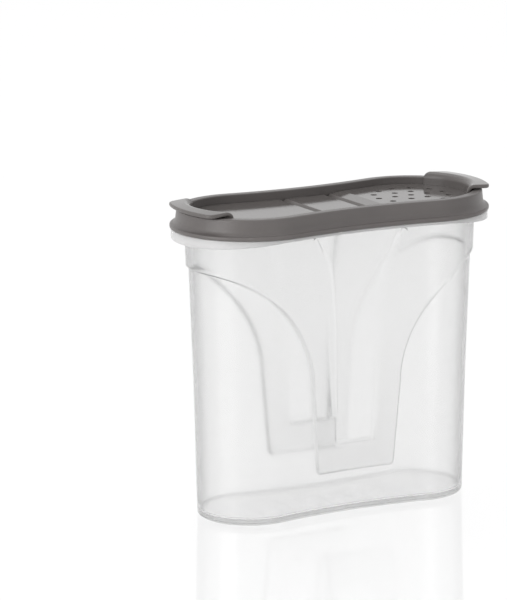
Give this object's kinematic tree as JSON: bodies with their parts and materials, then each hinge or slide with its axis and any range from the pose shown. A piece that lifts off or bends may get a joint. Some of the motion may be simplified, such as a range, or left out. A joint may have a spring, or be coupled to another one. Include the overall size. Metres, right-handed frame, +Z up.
{
  "type": "spice jar",
  "caption": "Slim clear jar with a drawn-in waist and a press-in lid whose hinged flaps open a round pouring hole and a field of sprinkle holes.",
  "frame": {"origin": "centre of the foot's underside, on the surface that the jar stands on", "axes": "+Z up, +X along the length towards the sprinkle end, +Y across the width"},
  "size_m": [0.12, 0.0546, 0.111],
  "materials": {
    "clear_jar": "clear, slightly milky moulded plastic",
    "grey_lid": "warm grey satin moulded plastic",
    "grey_strip": "warm grey satin moulded plastic"
  },
  "bodies": {
    "jar": {"jar_body": "clear_jar"},
    "lid": {"lid_frame": "grey_lid", "centre_bridge": "grey_strip", "pour_hinge_web": "grey_strip", "shaker_hinge_web": "grey_strip"},
    "pour_cover": {"pour_flap": "grey_strip"},
    "shaker_cover": {"shaker_flap": "grey_strip"}
  },
  "joints": [
    {"name": "lid_lift", "type": "slide", "parent": "jar", "child": "lid", "axis": [0, 0, 1], "range_m": [0, 0.03]},
    {"name": "pour_flap_hinge", "type": "hinge", "parent": "lid", "child": "pour_cover", "pos_m": [-0.009, 0, 0.105], "axis": [0, 1, 0], "range_deg": [0, 90], "deforming": ["pour_hinge_web"]},
    {"name": "shaker_flap_hinge", "type": "hinge", "parent": "lid", "child": "shaker_cover", "pos_m": [0.009, 0, 0.105], "axis": [0, -1, 0], "range_deg": [0, 90], "deforming": ["shaker_hinge_web"]}
  ]
}
